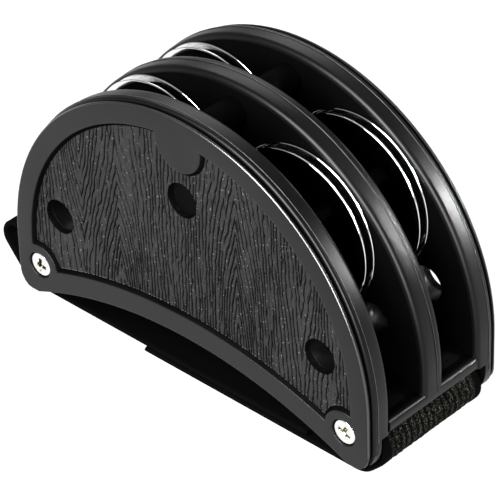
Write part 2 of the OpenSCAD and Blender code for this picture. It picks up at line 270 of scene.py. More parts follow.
def coords(tree, kind):
    """Place on the piece, of one of Blender's kinds."""
    return add(tree, "ShaderNodeTexCoord").outputs[kind]


def axes_of(tree, where):
    """The X, Y and Z of a place or direction, by name."""
    node = add(tree, "ShaderNodeSeparateXYZ")
    tree.links.new(where, node.inputs[0])
    return node.outputs


def stretched(tree, where, scale):
    """Scales a place by three factors, so that a texture on it runs out along one way."""
    node = add(tree, "ShaderNodeVectorMath", operation="MULTIPLY")
    tree.links.new(where, node.inputs[0])
    node.inputs[1].default_value = scale
    return node.outputs[0]


def mesh_mark(tree, name):
    """A value that the mesh carries on its points."""
    return add(tree, "ShaderNodeAttribute", attribute_name=name).outputs["Fac"]


def effect_group(name, **inputs):
    """Empty group for a colour, roughness and height. Gives it, its input sockets and those to be fed."""
    group = bpy.data.node_groups.new(name, "ShaderNodeTree")
    for label, value in inputs.items():
        kind = "NodeSocketColor" if isinstance(value, tuple) else "NodeSocketFloat"
        group.interface.new_socket(label, in_out="INPUT", socket_type=kind).default_value = value
    for label, kind in (("Color", "Color"), ("Roughness", "Float"), ("Height", "Float")):
        group.interface.new_socket(label, in_out="OUTPUT", socket_type="NodeSocket" + kind)
    return group, add(group, "NodeGroupInput").outputs, add(group, "NodeGroupOutput").inputs


def moulded_skin_group():
    """Spark-eroded mould texture, clouding and faint rub marks of black plastic."""
    group, given, out = effect_group("moulded_skin", Base=grey(0.02), Rubbed=grey(0.04), Rough=0.4,
                                     Grain=2600.0, Marks=0.3)
    where = coords(group, "Object")
    grain = noise_at(group, where, given["Grain"], 3.0)
    cloud = noise_at(group, where, 38.0, 3.0)
    rub_lines = noise_at(group, stretched(group, where, (900.0, 900.0, 70.0)), 1.0, 4.0)
    patches = spread(group, noise_at(group, where, 24.0), 0.48, 0.68)
    rubbed = times(group, times(group, spread(group, rub_lines, 0.62, 0.74), patches), given["Marks"])
    clouded = times(group, spread(group, cloud, 0.3, 0.7, 0.0, 0.35), grain)
    tone = plus(group, clouded, rubbed, clamp=True)
    uneven = plus(group, given["Rough"], times(group, minus(group, cloud, 0.5), 0.22))
    feed(group, blend_colours(group, tone, given["Base"], given["Rubbed"]), out["Color"])
    feed(group, minus(group, uneven, times(group, rubbed, 0.12), clamp=True), out["Roughness"])
    feed(group, minus(group, grain, times(group, rubbed, 0.4)), out["Height"])
    return group


def turned_lines_group():
    """Fine tool lines across a place, with stray scratches and haze, for turned, drawn and spun metal."""
    group, given, out = effect_group("turned_lines", Across=0.0, Lines=9000.0, Rough=0.15,
                                     Bright=grey(0.8), Dull=grey(0.5))
    where = coords(group, "Object")
    lines = noise_at(group, given["Across"], given["Lines"], 4.0, "1D")
    haze = spread(group, noise_at(group, where, 140.0, 4.0), 0.45, 0.8, 0.0, 0.5)
    pits = spread(group, noise_at(group, where, 1500.0), 0.66, 0.76)
    dulled = plus(group, haze, times(group, pits, 0.4), clamp=True)
    rough = plus(group, given["Rough"], times(group, dulled, 0.14))
    feed(group, blend_colours(group, dulled, given["Bright"], given["Dull"]), out["Color"])
    feed(group, plus(group, rough, times(group, minus(group, lines, 0.5), 0.1), clamp=True), out["Roughness"])
    feed(group, minus(group, lines, times(group, pits, 0.5)), out["Height"])
    return group


def yarn_group():
    """Warp and weft of black yarn on a strap's own length and width, with dusty lighter fibres."""
    group, given, out = effect_group("yarn", Dark=grey(0.01), Light=grey(0.03), Warp=0.6 * MM, Weft=0.9 * MM,
                                     Dust=0.45, Lit=0.0)
    where = coords(group, "UV")
    parts = axes_of(group, where)
    waves = []
    for axis, pitch in (("Y", "Warp"), ("X", "Weft")):
        turns = maths(group, "DIVIDE", parts[axis], given[pitch])
        waves.append(maths(group, "SINE", times(group, turns, 2 * math.pi)))
    weave = plus(group, times(group, times(group, waves[0], waves[1]), 0.5), 0.5)
    fibre = noise_at(group, stretched(group, where, (2200.0, 5200.0, 1.0)), 1.0, 3.0)
    specks = noise_at(group, stretched(group, where, (1500.0, 1500.0, 1.0)), 1.0)
    dust = spread(group, specks, 0.6, 0.78, 0.0, 0.8)
    lit = plus(group, times(group, weave, times(group, fibre, 0.5)), dust)
    # Lit adds a painted highlight on top, where a finish feeds it.
    lit = plus(group, times(group, lit, given["Dust"]), given["Lit"], clamp=True)
    feed(group, blend_colours(group, lit, given["Dark"], given["Light"]), out["Color"])
    feed(group, spread(group, fibre, 0.2, 0.8, 0.72, 0.95), out["Roughness"])
    feed(group, plus(group, times(group, weave, 0.7), times(group, fibre, 0.5)), out["Height"])
    return group


moulded_skin = moulded_skin_group()
turned_lines = turned_lines_group()
yarn = yarn_group()


# Finishes

def new_material(name):
    """Material with its Principled shader. Gives the material, its tree and the shader."""
    material = bpy.data.materials.new(name)
    material.use_nodes = True
    return material, material.node_tree, material.node_tree.nodes["Principled BSDF"]


def place_effect(tree, group, **values):
    """Places a shared effect in a material with its own values."""
    return fill(add(tree, "ShaderNodeGroup", node_tree=group), **values)


def wire_effect(tree, effect, shader, bump_depth, edge_round=0.0):
    """Joins an effect to the shader; bump_depth and edge_round, which softens sharp corners, in metres."""
    tree.links.new(effect.outputs["Color"], shader.inputs["Base Color"])
    tree.links.new(effect.outputs["Roughness"], shader.inputs["Roughness"])
    bump = fill(add(tree, "ShaderNodeBump"), Strength=1.0, Distance=bump_depth)
    tree.links.new(effect.outputs["Height"], bump.inputs["Height"])
    if edge_round:
        soft_edge = fill(add(tree, "ShaderNodeBevel", samples=6), Radius=edge_round)
        tree.links.new(soft_edge.outputs["Normal"], bump.inputs["Normal"])
    tree.links.new(bump.outputs["Normal"], shader.inputs["Normal"])


def shine_by(tree, shader, mask, low, high, plain, full=1.0):
    """Shine from low to high as a mask rises to full, and a plain value for readers of the socket alone."""
    shader.inputs[SHINE].default_value = plain
    tree.links.new(spread(tree, mask, 0.0, full, low, high), shader.inputs[SHINE])


def satin_bezel_plastic():
    """Satin faces, with a burnished round on the outer edge."""
    material, tree, shader = new_material("bezel_plastic")
    skin = place_effect(tree, moulded_skin, Base=grey(0.0012), Rubbed=grey(0.007), Rough=0.36, Grain=2400.0,
                        Marks=0.25)
    wire_effect(tree, skin, shader, bump_depth=0.012 * MM, edge_round=0.6 * MM)
    forward = maths(tree, "ABSOLUTE", axes_of(tree, coords(tree, "Normal"))["Y"])
    off_sides = spread(tree, forward, 0.1, 0.35)
    off_faces = spread(tree, forward, 0.86, 0.97, 1.0, 0.0)
    burnished = times(tree, off_sides, off_faces)
    shine_by(tree, shader, burnished, low=0.2, high=1.0, plain=0.2)
    smoother = minus(tree, skin.outputs["Roughness"], times(tree, burnished, 0.12), clamp=True)
    tree.links.new(smoother, shader.inputs["Roughness"])
    return material


def embossed_panel_plastic():
    """Flecked ridges, grooves painted darker as painted shade and duller, and a dotted painted highlight
    along the lower edge, where the mesh marks them.
    """
    material, tree, shader = new_material("panel_plastic")
    skin = place_effect(tree, moulded_skin, Base=grey(0.0016), Rubbed=grey(0.012), Rough=0.4, Grain=1700.0,
                        Marks=0.5)
    wire_effect(tree, skin, shader, bump_depth=0.03 * MM)
    groove = mesh_mark(tree, "groove")
    where = coords(tree, "Object")
    flecks = spread(tree, noise_at(tree, where, 1500.0, 1.0), 0.68, 0.75)
    dots = spread(tree, noise_at(tree, where, 700.0, 1.0), 0.46, 0.56)
    # Flecks, and dots of painted highlight along the field's lower edge, lighten the colour.
    pale = maths(tree, "MAXIMUM", flecks, times(tree, mesh_mark(tree, "worn"), dots))
    pale = times(tree, pale, spread(tree, groove, 0.3, 0.9, 1.0, 0.0))
    # Painted shade: the groove mark blends the colour towards near black and takes away shine, in the
    # grooves, the moat and the hole walls.
    colour = blend_colours(tree, groove, skin.outputs["Color"], grey(0.001))
    tree.links.new(blend_colours(tree, pale, colour, grey(0.05)), shader.inputs["Base Color"])
    dulled = plus(tree, skin.outputs["Roughness"], times(tree, groove, 0.3), clamp=True)
    tree.links.new(dulled, shader.inputs["Roughness"])
    shine_by(tree, shader, groove, low=0.25, high=0.01, plain=0.2, full=0.7)
    return material


def shell_plastic():
    """Semi-gloss on the rims and in the side holes, and the dull black of an unpolished mould elsewhere."""
    material, tree, shader = new_material("shell_plastic")
    skin = place_effect(tree, moulded_skin, Base=grey(0.0003), Rubbed=grey(0.0014), Rough=0.36, Grain=3200.0,
                        Marks=0.2)
    wire_effect(tree, skin, shader, bump_depth=0.008 * MM, edge_round=0.2 * MM)
    parts = axes_of(tree, coords(tree, "Object"))
    across = maths(tree, "ABSOLUTE", parts["X"])
    above = maths(tree, "MAXIMUM", minus(tree, parts["Z"], ARC_Z), 0.0)
    reach = distance(tree, across, above)
    rim = spread(tree, reach, bezel_high.x - 1.6 * MM, bezel_high.x - 0.6 * MM)
    side_hole = hole_spots[1]
    from_axis = distance(tree, minus(tree, across, side_hole.x), minus(tree, parts["Z"], side_hole.z))
    bore = spread(tree, from_axis, HOLE_R + 0.1 * MM, HOLE_R + 0.4 * MM, 0.6, 0.0)
    glossy = maths(tree, "MAXIMUM", rim, bore)
    shine_by(tree, shader, glossy, low=0.012, high=0.17, plain=0.1)
    dulled = plus(tree, minus(tree, skin.outputs["Roughness"], times(tree, glossy, 0.3)), 0.3, clamp=True)
    tree.links.new(dulled, shader.inputs["Roughness"])
    return material


def tooled_metal(name, spun, lines, rough, bright, dull):
    """Metal with tool rings about the piece's Y axis: over its face if it is spun, else along its length."""
    material, tree, shader = new_material(name)
    parts = axes_of(tree, coords(tree, "Object"))
    across = distance(tree, parts["X"], parts["Z"]) if spun else parts["Y"]
    effect = place_effect(tree, turned_lines, Lines=lines, Rough=rough, Bright=bright, Dull=dull)
    tree.links.new(across, effect.inputs["Across"])
    wire_effect(tree, effect, shader, bump_depth=0.003 * MM)
    shader.inputs["Metallic"].default_value = 1.0
    return material


def plated_screw_steel():
    """Bright plate, with painted shade that darkens it deeper in the cross recesses that the mesh marks."""
    material = tooled_metal("screw_steel", True, lines=5200.0, rough=0.16, bright=grey(0.82),
                            dull=grey(0.5, 0.06))
    tree = material.node_tree
    colour = tree.nodes["Principled BSDF"].inputs["Base Color"]
    plate = colour.links[0].from_socket
    # Painted shade: the colour turns dark deeper in the cross recess.
    deep = spread(tree, mesh_mark(tree, "recess"), 0.0, 0.4)
    tree.links.new(blend_colours(tree, deep, plate, (0.16, 0.155, 0.1, 1.0)), colour)
    return material


def strap_webbing():
    """Black yarn; the mesh marks how far each point stands up in the pile, and some tips get a painted
    highlight where they would catch the light.
    """
    material, tree, shader = new_material("strap_webbing")
    cloth = place_effect(tree, yarn, Dark=grey(0.0004, 0.04), Light=(0.06, 0.059, 0.048, 1.0), Warp=0.6 * MM,
                         Weft=0.8 * MM, Dust=0.01)
    # Painted highlight: specks on the pile's tips are lightened towards the yarn's light colour.
    loops = noise_at(tree, stretched(tree, coords(tree, "UV"), (2400.0, 3200.0, 1.0)), 1.0, 1.0)
    tips = spread(tree, mesh_mark(tree, "tip"), 0.08, 0.3)
    tree.links.new(times(tree, spread(tree, loops, 0.54, 0.66), tips), cloth.inputs["Lit"])
    wire_effect(tree, cloth, shader, bump_depth=0.08 * MM)
    shader.inputs[SHINE].default_value = 0.015
    return material


def hook_tape():
    """Coarse black tape, a little glossier than the yarn."""
    material, tree, shader = new_material("hook_tape")
    cloth = place_effect(tree, yarn, Dark=grey(0.004), Light=grey(0.03), Warp=1.4 * MM, Weft=1.4 * MM)
    wire_effect(tree, cloth, shader, bump_depth=0.12 * MM)
    shader.inputs[SHINE].default_value = 0.2
    return material


def flash_painted_highlight():
    """Ragged edge that the mould's halves leave where they meet, coloured pale as a painted highlight along
    the thin line.
    """
    material, tree, shader = new_material("flash_painted_highlight")
    # The pale rubbed colour is a painted highlight on the thin parting lines.
    skin = place_effect(tree, moulded_skin, Base=grey(0.006), Rubbed=grey(0.12), Rough=0.32, Grain=900.0,
                        Marks=1.0)
    wire_effect(tree, skin, shader, bump_depth=0.01 * MM)
    return material


bezel_finish = satin_bezel_plastic()
panel_finish = embossed_panel_plastic()
shell_finish = shell_plastic()
pin_finish = tooled_metal("pin_steel", False, lines=7000.0, rough=0.4, bright=grey(0.03), dull=grey(0.015))
post_finish = tooled_metal("post_steel", False, lines=4500.0, rough=0.28, bright=grey(0.6), dull=grey(0.34))
screw_finish = plated_screw_steel()
jingle_finish = tooled_metal("jingle_steel", True, lines=5600.0, rough=0.05, bright=grey(0.84),
                             dull=grey(0.68))
flash_finish = flash_painted_highlight()
webbing_finish = strap_webbing()
hook_finish = hook_tape()


# Moulded and turned nodes that keep their solids

# Corners of the solids under this many degrees belong to rounds
ROUND_CORNER = 34


def smooth_corners_group():
    """Merges a solid's face patches and smooths its low corners, so that rounded edges shade as round."""
    group = bpy.data.node_groups.new("smooth_corners", "GeometryNodeTree")
    group.interface.new_socket("Geometry", in_out="INPUT", socket_type="NodeSocketGeometry")
    group.interface.new_socket("Geometry", in_out="OUTPUT", socket_type="NodeSocketGeometry")
    given, out = add(group, "NodeGroupInput"), add(group, "NodeGroupOutput")
    plain = fill(add(group, "GeometryNodeRemoveAttribute"), Name="custom_normal")
    merge = fill(add(group, "GeometryNodeMergeByDistance"), Distance=1e-6)
    faces = add(group, "GeometryNodeSetShadeSmooth", domain="FACE")
    corners = add(group, "GeometryNodeSetShadeSmooth", domain="EDGE")
    angle = add(group, "GeometryNodeInputMeshEdgeAngle")
    round_enough = add(group, "FunctionNodeCompare", data_type="FLOAT", operation="LESS_THAN")
    round_enough.inputs[1].default_value = math.radians(ROUND_CORNER)
    group.links.new(given.outputs[0], plain.inputs[0])
    group.links.new(plain.outputs[0], merge.inputs[0])
    group.links.new(merge.outputs[0], faces.inputs[0])
    group.links.new(faces.outputs[0], corners.inputs[0])
    group.links.new(angle.outputs["Unsigned Angle"], round_enough.inputs[0])
    group.links.new(round_enough.outputs[0], corners.inputs["Shade Smooth"])
    group.links.new(corners.outputs[0], out.inputs[0])
    return group


smooth_corners = smooth_corners_group()


def finish_node(name, material):
    """Gives a carried-over solid its finish and round shading."""
    node = frame["nodes"][name]
    node.data.materials.clear()
    node.data.materials.append(material)
    node.modifiers.new("smooth_corners", "NODES").node_group = smooth_corners


for node_name in ("front_bezel", "back_bezel"):
    finish_node(node_name, bezel_finish)
for node_name in ("front_shell", "rear_shell"):
    finish_node(node_name, shell_finish)
for side_name in ("left", "right"):
    finish_node("strap_post_" + side_name, post_finish)
    finish_node("jingle_pin_" + side_name, pin_finish)
finish_node("tie_screw", screw_finish)


# Flash on the rims of the three walls: where it lies through the depth, and its lower ends, in millimetres
FLASH_LINES = {"front": (-23.6, 17.0), "middle": (1.2, 23.0), "rear": (23.6, 17.0)}
FLASH_R = 0.11
FLASH_STEPS = 241
FLASH_SIDES = 6
STEPS_PER_LUMP = 2.5
RIM_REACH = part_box("front_shell")[1].x / MM


def flash_mesh(name, y, foot_z):
    """Thin ragged ridge over a wall's rim, from foot to foot."""
    turns = np.linspace(0, math.pi, FLASH_STEPS)
    out = np.stack([np.cos(turns), np.sin(turns)], axis=-1)
    spots = RIM_REACH * out + [0, ARC_Z / MM]
    out = np.concatenate([out[:1], out, out[-1:]])
    spots = np.concatenate([[[RIM_REACH, foot_z]], spots, [[-RIM_REACH, foot_z]]])
    sides = np.linspace(0, 2 * math.pi, FLASH_SIDES, endpoint=False)
    places = np.arange(len(spots)) / STEPS_PER_LUMP
    ragged = FLASH_R * (0.6 + 0.8 * soft_noise(places, np.full(len(spots), y), 31))
    lift = (ragged[:, None] * np.cos(sides))[..., None] * out[:, None, :]
    ring_xz = spots[:, None, :] + lift
    ring_y = y + ragged[:, None] * np.sin(sides)
    mesh = tube(name, np.stack([ring_xz[..., 0], ring_y, ring_xz[..., 1]], axis=-1) * MM)
    tidy_normals(mesh, sharp_angle=70)
    return mesh


for wall, (flash_y, flash_foot) in FLASH_LINES.items():
    flash = flash_mesh("flash_" + wall, flash_y, flash_foot)
    new_piece("flash_" + wall, flash, flash_finish, "housing")


# Embossed panels

# The bezel's opening, which the panel's sheet reaches under and its embossed field stands in, in millimetres
PANEL_LIP = 1.2
PANEL_SHEET = 1.2
SHEET_OVERLAP = 0.3
FIELD_GAP = 1.1
WINDOW_R = panel_high.x / MM - PANEL_LIP
ARCH_EDGE_R = 155.0
ARCH_CENTRE_Z = -127.2
PAD_R = 7.0
TONGUE_R = 8.7
LEAST_GAP = 0.05
FIELD_GRID = (760, 170)
SHEET_GRID = (300, 100)
# Grain of the field, in millimetres; the ridges' own relief is a low crown and a fine tooth
GROOVE_PITCH = 1.35
GROOVE_DEPTH = 0.4
RIDGE_DEPTH = 0.06
RIDGE_CROWN = 0.05
RIDGE_TOOTH = 0.035
HOLE_EDGE_DEPTH = 0.05
# Hearts of the grain: x, z, lean of the lines towards or away from the heart, and width
GRAIN_HEARTS = ((-41, 55, 0.26, 9), (-26, 52, -0.28, 8), (20, 63, -0.26, 9), (44, 44, 0.12, 10))
HEART_RUN = 26
# Wander of the lines: amount, run across, run up and seed
GRAIN_WANDER = ((1.5, 7, 30, 3), (0.8, 2.2, 9, 4), (0.5, 1.3, 2.4, 10))
# The count of lines starts and ends this far out, past both ends of the sheet
PANEL_SPAN = 100
# Step for measuring how fast the count climbs, and the least climb in counts a millimetre
SLOPE_STEP = 0.05
LEAST_SLOPE = 0.3
# Places of neighbouring lines in the noise that breaks and widens them, so that no two are alike
STRAND_STEP = 13.7


def circle_height(x, centre_x, centre_z, radius):
    """Height of a circle's upper edge at x, and far below where x lies outside it."""
    inside = radius ** 2 - (x - centre_x) ** 2
    return np.where(inside > 0, centre_z + np.sqrt(np.maximum(inside, 0)), -1e3)


def opening_span(x, grow):
    """Lowest and highest edge at x of the bezel's opening, widened all round by grow."""
    screw_x, screw_z, tongue_z = corner_screw_spot.x / MM, corner_screw_spot.z / MM, tongue_spot.z / MM
    low = np.maximum(circle_height(x, 0, ARCH_CENTRE_Z, ARCH_EDGE_R - grow),
                     circle_height(np.abs(x), screw_x, screw_z, PAD_R - grow))
    notch = 2 * tongue_z - circle_height(x, 0, tongue_z, TONGUE_R - grow)
    high = np.minimum(circle_height(x, 0, ARC_Z / MM, WINDOW_R + grow), notch)
    return low, np.maximum(high, low + LEAST_GAP)


def grain_count(x, z):
    """Count of grooves across the sheet, which turns back at each heart of the grain."""
    edges = [-PANEL_SPAN] + [heart[0] for heart in GRAIN_HEARTS] + [PANEL_SPAN]
    steps = [(b - a) * (-1) ** (i + 1) for i, (a, b) in enumerate(zip(edges, edges[1:]))]
    count = np.interp(x, edges, np.concatenate([[0], np.cumsum(steps)]))
    for i, (heart_x, heart_z, lean, width) in enumerate(GRAIN_HEARTS):
        climb = HEART_RUN * np.tanh((z - heart_z) / HEART_RUN)
        count = count - (-1) ** i * lean * climb * np.exp(-((x - heart_x) / width) ** 2)
    for amount, run_x, run_z, seed in GRAIN_WANDER:
        count = count + amount * (soft_noise(x / run_x, z / run_z, seed) - 0.5)
    return count / GROOVE_PITCH


def wood_grain(x, z):
    """Depth of the embossed grain in millimetres, and how far each place lies in a groove, from 0 to 1."""
    count = grain_count(x, z)
    climb_x = grain_count(x + SLOPE_STEP, z) - count
    climb_z = grain_count(x, z + SLOPE_STEP) - count
    slope = np.hypot(climb_x, climb_z) / SLOPE_STEP
    off = np.abs(count - np.round(count))
    away = off / np.maximum(slope, LEAST_SLOPE)
    strand = np.round(count) * STRAND_STEP
    broken = ease(0.08, 0.3, soft_noise(strand, z / 6.5 + strand * 3.1, 5)) * ease(0.2, 0.5, slope)
    width = 0.18 + 0.12 * soft_noise(strand + 40, z / 4.0, 6)
    groove = np.exp(-(away / width) ** 4) * broken
    pores = ease(0.8, 0.9, soft_noise(x / 0.42, z / 2.6, 8)) * 0.45
    mask = np.clip(np.maximum(groove, pores), 0, 1)
    crown = RIDGE_CROWN * np.sin(2 * np.pi * off)
    tooth = RIDGE_TOOTH * (soft_noise(x / 0.4, z / 0.7, 9) - 0.5)
    return GROOVE_DEPTH * mask - crown + tooth + RIDGE_DEPTH, mask


def plain_face(x, z):
    """No emboss, and painted as dark as a groove, which is painted shade: the sheet shows only in the moat
    round the field.
    """
    return np.zeros(x.shape), np.ones(x.shape)


def plate_grid(grow, grid):
    """Columns of points over the bezel's opening, widened by grow: x and z in millimetres."""
    columns, rows = grid
    reach = WINDOW_R + grow - LEAST_GAP
    column_x = np.linspace(-reach, reach, columns)
    low, high = opening_span(column_x, grow)
    x = np.repeat(column_x[:, None], rows, axis=1)
    z = low[:, None] + (high - low)[:, None] * np.linspace(0, 1, rows)[None, :]
    return x, z


def open_holes(x, z):
    """Moves the points in the round holes out to the edge. Gives x, z and which points were inside."""
    radius = HOLE_R / MM
    inside = np.zeros(x.shape, bool)
    for spot in hole_spots:
        dx, dz = x - spot.x / MM, z - spot.z / MM
        gap = np.hypot(dx, dz)
        inside |= gap < radius
        pull = np.where((gap < radius) & (gap > 1e-6), radius / np.maximum(gap, 1e-6), 1.0)
        x, z = spot.x / MM + dx * pull, spot.z / MM + dz * pull
    return x, z, inside


def cell_corners(values):
    """Values at the four corners of each cell of a grid, in order round the cell."""
    return np.stack([values[:-1, :-1], values[1:, :-1], values[1:, 1:], values[:-1, 1:]], axis=-1)


def close_back(mesh, back_y):
    """Runs the open edges of a sheet straight back to a plane and fills it."""
    bm = bmesh.new()
    bm.from_mesh(mesh)
    rim = [e for e in bm.edges if e.is_boundary]
    made = bmesh.ops.extrude_edge_only(bm, edges=rim)["geom"]
    for v in made:
        if isinstance(v, bmesh.types.BMVert):
            v.co.y = back_y
    back_rim = [e for e in made if isinstance(e, bmesh.types.BMEdge) and e.is_boundary]
    bmesh.ops.triangle_fill(bm, use_beauty=True, use_dissolve=False, edges=back_rim)
    bmesh.ops.recalc_face_normals(bm, faces=bm.faces)
    bm.to_mesh(mesh)
    bm.free()


def pierced_plate(name, grow, grid, face_y, back_y, relief):
    """Plate in the bezel's opening, widened by grow: face cut by relief, round holes and a flat back."""
    x, z, inside = open_holes(*plate_grid(grow, grid))
    depth, mask = relief(x, z)
    # Points pulled to the holes' edges get the full groove mark, which paints the hole walls dark as painted
    # shade.
    depth, mask = np.where(inside, HOLE_EDGE_DEPTH, depth), np.where(inside, 1.0, mask)
    # The field's lowest row gets a painted highlight: a dotted light line where its lower edge would catch
    # the light.
    worn = np.zeros(x.shape)
    worn[:, 0] = 1.0
    kept = ~cell_corners(inside).all(axis=-1)
    quads = cell_corners(np.arange(x.size).reshape(x.shape))[kept]
    used, renumbered = np.unique(quads, return_inverse=True)
    points = np.stack([x.ravel() * MM, face_y + depth.ravel() * MM, z.ravel() * MM], axis=-1)[used]
    mesh = bpy.data.meshes.new(name)
    mesh.from_pydata(points.tolist(), [], renumbered.reshape(quads.shape).tolist())
    mark_points(mesh, "groove", mask.ravel()[used])
    mark_points(mesh, "worn", worn.ravel()[used])
    close_back(mesh, back_y)
    return mesh


def panel_mesh(name):
    """Front panel: the embossed field on a plain sheet that reaches under the bezel."""
    sheet_y = panel_high.y - PANEL_SHEET * MM
    sheet = pierced_plate("panel_sheet", PANEL_LIP, SHEET_GRID, sheet_y, panel_high.y, plain_face)
    field_back_y = sheet_y + SHEET_OVERLAP * MM
    field = pierced_plate(name, -FIELD_GAP, FIELD_GRID, panel_low.y, field_back_y, wood_grain)
    bm = bmesh.new()
    bm.from_mesh(field)
    bm.from_mesh(sheet)
    bm.to_mesh(field)
    bm.free()
    bpy.data.meshes.remove(sheet)
    smooth_faces(field, sharp_angle=65)
    return field


def fit_panels():
    """Front panel, and the same sheet turned about for the back."""
    front = panel_mesh("grain_panel_front")
    back = front.copy()
    back.name = "grain_panel_back"
    back.transform(Matrix.Rotation(math.pi, 4, "Z"))
    for mesh, node in ((front, "front_panel"), (back, "back_panel")):
        piece = new_piece(mesh.name, mesh, panel_finish, "housing")
        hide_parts(node)


fit_panels()


# Jingles

JINGLE_SHEET = 0.7 * MM
JINGLE_RISE = 2.0 * MM
JINGLE_HOLE_R = 2.7 * MM
DOME_R = 11.0 * MM
FLANGE_RISE = 0.6 * MM
JINGLE_TURNS = 144
DOME_STEPS = 16
FLANGE_STEPS = 6
EDGE_STEPS = 6


def jingle_outline(rim_r):
    """Cross-section of the sheet from hole to rim, with rounded edges."""
    crown = JINGLE_RISE - JINGLE_SHEET - FLANGE_RISE
    half = JINGLE_SHEET / 2

    def middle(r):
        """Height of the middle of the sheet."""
        if r >= DOME_R:
            return half + FLANGE_RISE * (rim_r - r) / (rim_r - DOME_R)
        turn = math.pi * (r - JINGLE_HOLE_R) / (DOME_R - JINGLE_HOLE_R)
        return half + FLANGE_RISE + crown * (0.5 + 0.5 * math.cos(turn))

    hole_edge, rim_edge = JINGLE_HOLE_R + half, rim_r - half
    radii = [hole_edge + (DOME_R - hole_edge) * i / DOME_STEPS for i in range(DOME_STEPS + 1)]
    radii += [DOME_R + (rim_edge - DOME_R) * i / FLANGE_STEPS for i in range(1, FLANGE_STEPS + 1)]
    rounds = [math.pi * i / EDGE_STEPS for i in range(1, EDGE_STEPS)]
    lower = [(r, middle(r) - half) for r in radii]
    rim = [(rim_edge + half * math.sin(a), middle(rim_edge) - half * math.cos(a)) for a in rounds]
    upper = [(r, middle(r) + half) for r in reversed(radii)]
    lip = [(hole_edge - half * math.sin(a), middle(hole_edge) + half * math.cos(a)) for a in rounds]
    return lower + rim + upper + lip


def hang_jingles():
    """Eight spun discs, each where its solid is, crown towards its mate."""
    low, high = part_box("jingle_front_left_a")
    shared = lathe("jingle_disc", jingle_outline((high.x - low.x) / 2), JINGLE_TURNS)
    for bay, side, mate in itertools.product(("front", "back"), ("left", "right"), ("a", "b")):
        node = f"jingle_{bay}_{side}_{mate}"
        low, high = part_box(node)
        rim_y, turn = (low.y, 0) if mate == "a" else (high.y, math.pi)
        centre = middle_of(node)
        place = Matrix.Translation((centre.x, rim_y, centre.z)) @ Matrix.Rotation(turn, 4, "Z")
        mesh = shared.copy()
        mesh.name = "disc_" + node
        piece = new_piece(mesh.name, mesh, jingle_finish, node, place)
        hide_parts(node)


hang_jingles()


# Corner screws

HEAD_R = 4.0 * MM
HEAD_H = 2.1 * MM
HEAD_CROWN = 0.42 * MM
HEAD_EDGE = 0.18 * MM
SHANK_R = 1.95 * MM
TIP_CHAMFER = 0.5 * MM
SCREW_TURNS = 64
HEAD_STEPS = 8
# Bars of the cross recess: depth, and half length and half width at the top and at the bottom
CROSS_DEPTH = 1.3 * MM
CROSS_REACH = 2.75 * MM
CROSS_HALF_W = 0.72 * MM
CROSS_FLOOR_REACH = 1.25 * MM
CROSS_FLOOR_HALF_W = 0.34 * MM
CUT_CLEAR = 0.3 * MM
# How far each screw was turned when it came tight, in degrees
CROSS_TURNS = {"front_left": 8, "front_right": 24, "back_left": 51, "back_right": 70}


def screw_outline(length):
    """Half outline of a domed screw: seat at 0, head towards -Y, shank along +Y with a chamfered tip."""
    dome = []
    for i in range(HEAD_STEPS + 1):
        a = math.pi / 2 * i / HEAD_STEPS
        dome.append(((HEAD_R - HEAD_EDGE) * math.sin(a), -HEAD_H + HEAD_CROWN * (1 - math.cos(a))))
    side = [(HEAD_R, dome[-1][1] + HEAD_EDGE), (HEAD_R, -HEAD_EDGE), (HEAD_R - HEAD_EDGE, 0.0)]
    shank = [(SHANK_R, 0.0), (SHANK_R, length - TIP_CHAMFER), (SHANK_R - TIP_CHAMFER, length)]
    return [(0.0, length), (0.0, -HEAD_H)] + dome[1:] + side + shank


def cross_wing(name, turn):
    """Tapered wedge that one bar of the cross recess takes out of a screw head."""
    top = (-HEAD_H - CUT_CLEAR, CROSS_REACH, CROSS_HALF_W)
    floor = (-HEAD_H + CROSS_DEPTH, CROSS_FLOOR_REACH, CROSS_FLOOR_HALF_W)
    points = []
    for y, half_l, half_w in (top, floor):
        points += [(-half_l, y, -half_w), (half_l, y, -half_w), (half_l, y, half_w), (-half_l, y, half_w)]
    faces = [(0, 1, 2, 3), (7, 6, 5, 4)] + [(i, (i + 1) % 4, 4 + (i + 1) % 4, 4 + i) for i in range(4)]
    mesh = bpy.data.meshes.new(name)
    mesh.from_pydata(points, [], faces)
    mesh.transform(Matrix.Rotation(math.radians(turn), 4, "Y"))
    tidy_normals(mesh)
    cutter = bpy.data.objects.new(name, mesh)
    bpy.context.scene.collection.objects.link(cutter)
    return cutter


def cut_away(blank, cutters):
    """Takes the cutters out of a mesh. Gives the cut mesh and removes the objects that made it."""
    work = bpy.data.objects.new("screw_blank", blank)
    bpy.context.scene.collection.objects.link(work)
    for cutter in cutters:
        cut = work.modifiers.new("cut", "BOOLEAN")
        cut.operation, cut.object, cut.solver = "DIFFERENCE", cutter, "EXACT"
    done = bpy.data.meshes.new_from_object(work.evaluated_get(bpy.context.evaluated_depsgraph_get()))
    for spent in [work] + cutters:
        bpy.data.objects.remove(spent)
    return done


def mark_recess(mesh):
    """Stores how deep each point of a screw lies in its cross recess, from 0 to 1."""
    spots = np.zeros(len(mesh.vertices) * 3)
    mesh.vertices.foreach_get("co", spots)
    x, y, z = spots.reshape(-1, 3).T
    deep = ease(0.15, 0.5, (y + HEAD_H) / CROSS_DEPTH) * (np.hypot(x, z) < CROSS_REACH) * (y < 0)
    mark_points(mesh, "recess", deep)


